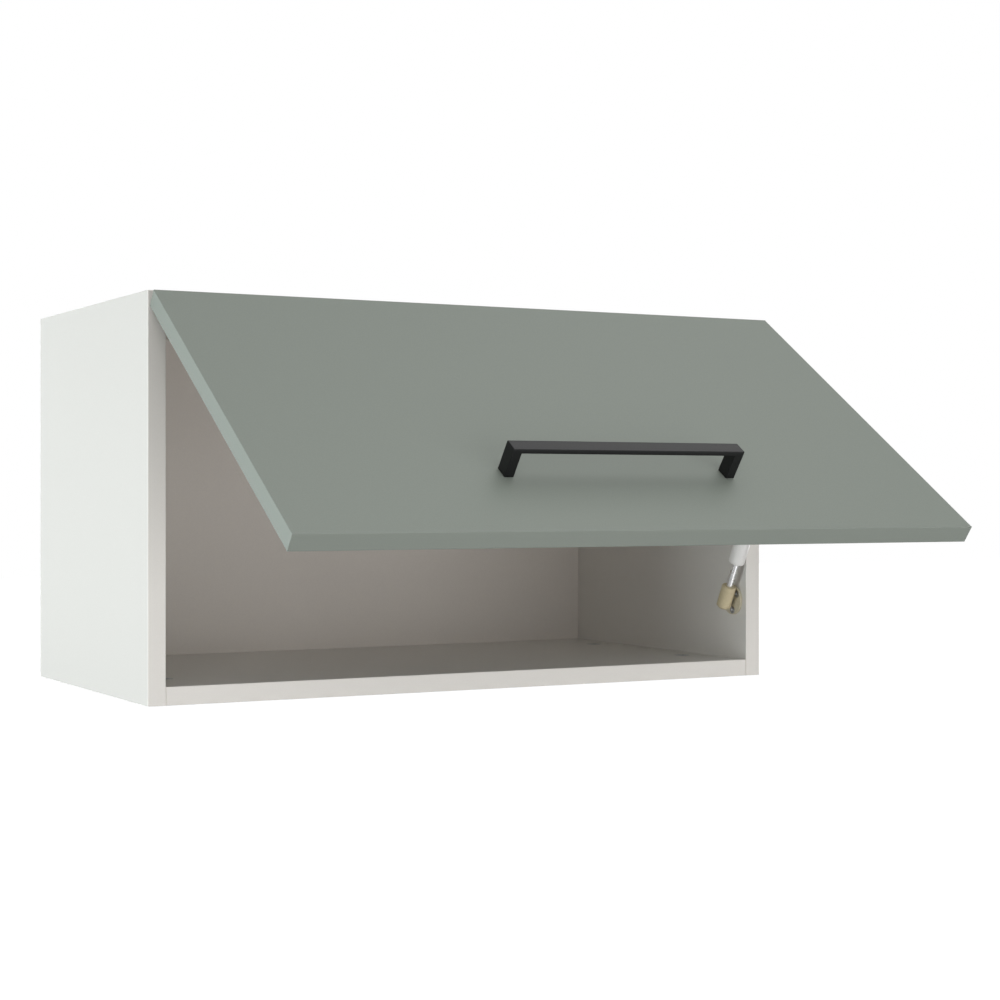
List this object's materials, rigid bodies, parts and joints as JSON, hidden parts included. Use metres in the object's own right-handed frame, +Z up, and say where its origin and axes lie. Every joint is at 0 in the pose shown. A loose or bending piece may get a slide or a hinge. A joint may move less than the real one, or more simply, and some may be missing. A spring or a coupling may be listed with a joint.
{
  "type": "lift up wall cabinet",
  "caption": "Low wide wall cabinet with a lift-up flap door on concealed cup hinges, a gas strut inside and a bar handle.",
  "frame": {"origin": "middle of the back panel's rear face, on the wall plane", "axes": "+X to the right seen from the front, +Y into the wall, +Z up; the door faces -Y"},
  "size_m": [0.6, 0.5708, 0.33],
  "materials": {
    "white_board": "white melamine faced board, satin",
    "white_back": "thin white faced fibreboard",
    "white_band": "off-white edge band",
    "zinc": "zinc plated, satin",
    "steel_screw": "plated steel",
    "bracket_steel": "plated sheet steel",
    "beech": "plain beech",
    "olive_plate": "olive painted steel",
    "tan_socket": "tan moulded plastic",
    "chrome_rod": "polished hard chrome",
    "black_seal": "black moulded plastic",
    "white_tube": "off-white paint, satin",
    "green_board": "sage green lacquered board, matt",
    "green_band": "sage green edge band, matt",
    "clear_pad": "soft translucent pad",
    "black_handle": "black powder coat, matt"
  },
  "bodies": {
    "cabinet": {"side_panel_left": "white_board", "side_panel_right": "white_board", "top_panel": "white_board", "bottom_panel": "white_board", "back_panel": "white_back", "edge_band_left": "white_band", "edge_band_right": "white_band", "edge_band_top": "white_band", "edge_band_bottom": "white_band", "cam_locks": "zinc", "cam_bolts": "zinc", "wood_dowels": "beech", "back_nails": "steel_screw", "hanger_plate_left": "zinc", "hanger_plate_right": "zinc", "hanger_screws": "steel_screw", "hinge_plate_left": "zinc", "hinge_plate_right": "zinc", "hinge_plate_screws": "steel_screw", "hinge_arm_left": "zinc", "hinge_arm_right": "zinc", "hinge_arm_screws": "steel_screw", "strut_side_plate": "olive_plate", "strut_side_ball": "steel_screw", "strut_side_screws": "steel_screw"},
    "door": {"door_panel": "green_board", "door_band_top": "green_band", "door_band_bottom": "green_band", "door_band_left": "green_band", "door_band_right": "green_band", "door_bumpers": "clear_pad", "handle": "black_handle", "handle_screws": "steel_screw", "hinge_cup_left": "zinc", "hinge_cup_right": "zinc", "hinge_cup_screws": "steel_screw", "hinge_pins": "steel_screw", "door_bracket": "bracket_steel", "door_bracket_screws": "steel_screw"},
    "strut_rod": {"strut_rod_socket": "tan_socket", "strut_rod": "chrome_rod", "strut_piston": "black_seal"},
    "strut_cylinder": {"strut_cylinder": "white_tube", "strut_guide": "black_seal", "strut_cylinder_socket": "tan_socket", "strut_upper_stud": "steel_screw"}
  },
  "joints": [
    {"name": "door_lift", "type": "hinge", "parent": "cabinet", "child": "door", "pos_m": [0, -0.3054, 0.1562], "axis": [-1, 0, 0], "range_deg": [-55, 20]},
    {"name": "strut_swing", "type": "hinge", "parent": "cabinet", "child": "strut_rod", "pos_m": [0.2755, -0.2735, -0.0955], "axis": [1, 0, 0], "range_deg": [-21.5, 7.9]},
    {"name": "strut_slide", "type": "slide", "parent": "strut_rod", "child": "strut_cylinder", "axis": [0, -0.4339, 0.901], "range_m": [-0.022, 0.0083]}
  ],
  "couplings": [
    {"joint": "strut_swing", "follows": "door_lift", "ratio": 0.39},
    {"joint": "strut_slide", "follows": "door_lift", "m_per_rad": 0.0225}
  ]
}
